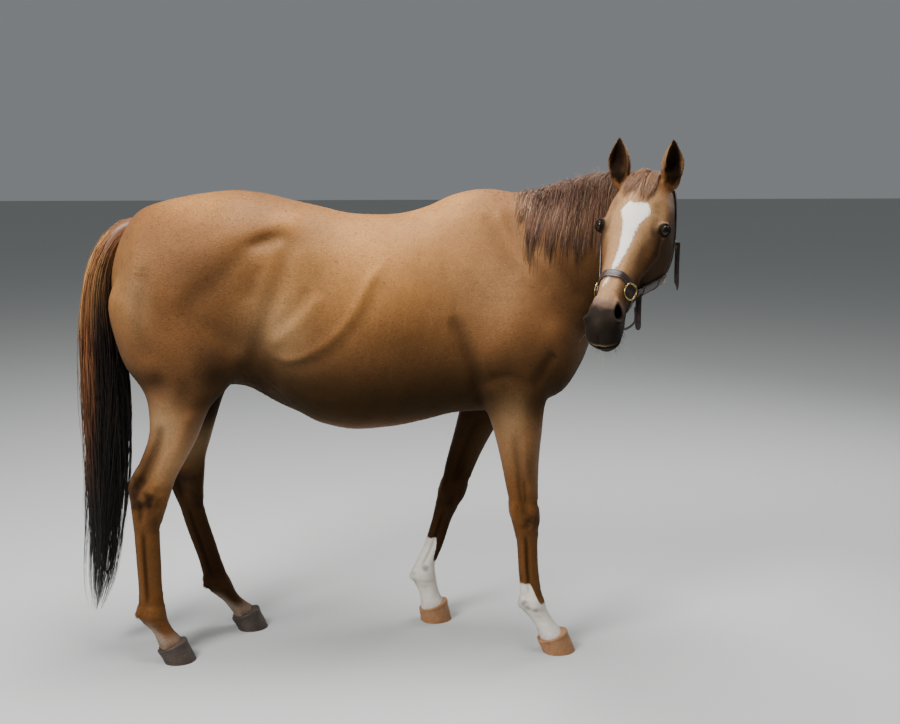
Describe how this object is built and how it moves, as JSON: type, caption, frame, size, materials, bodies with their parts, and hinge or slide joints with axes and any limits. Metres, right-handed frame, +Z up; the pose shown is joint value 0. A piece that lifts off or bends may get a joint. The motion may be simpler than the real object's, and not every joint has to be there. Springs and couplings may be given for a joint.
{
  "type": "horse",
  "caption": "Still life-size chestnut thoroughbred-type mare, standing with her head turned to her right, wearing a plain leather headcollar.",
  "frame": {"origin": "on the floor under the middle of the bounding box", "axes": "+X towards the chest along the trunk, +Y to the horse's left, +Z up"},
  "size_m": [1.9908, 1.1106, 1.8066],
  "materials": {
    "coat": "short glossy chestnut coat",
    "white_coat": "short white stocking hair",
    "mane": "long chestnut mane hair with golden strands",
    "tail": "long tail hair, chestnut above and nearly black below",
    "hoof_pale": "pale ridged horn",
    "hoof_dark": "dark ridged horn",
    "eye": "wet dark brown eye",
    "leather": "dark brown stitched harness leather",
    "brass": "worn brass fittings"
  },
  "bodies": {
    "root": {"chin_strap_end": "leather", "crown_strap": "leather", "crown_strap_end": "leather", "forelock": "mane", "head": "coat", "hindquarters": "coat", "left_buckle": "brass", "left_cheek_ring": "brass", "left_ear": "coat", "left_eye": "eye", "left_fore_cannon": "coat", "left_fore_forearm": "coat", "left_fore_hoof": "hoof_pale", "left_fore_pastern": "white_coat", "left_hind_cannon": "coat", "left_hind_gaskin": "coat", "left_hind_hoof": "hoof_dark", "left_hind_pastern": "coat", "left_jaw_strap": "leather", "left_noseband_ring": "brass", "mane": "mane", "neck": "coat", "noseband": "leather", "right_cheek_ring": "brass", "right_ear": "coat", "right_eye": "eye", "right_fore_cannon": "coat", "right_fore_forearm": "coat", "right_fore_hoof": "hoof_pale", "right_fore_pastern": "white_coat", "right_hind_cannon": "coat", "right_hind_gaskin": "coat", "right_hind_hoof": "hoof_dark", "right_hind_pastern": "coat", "right_jaw_strap": "leather", "right_noseband_ring": "brass", "tail": "tail", "trunk": "coat"}
  },
  "joints": []
}
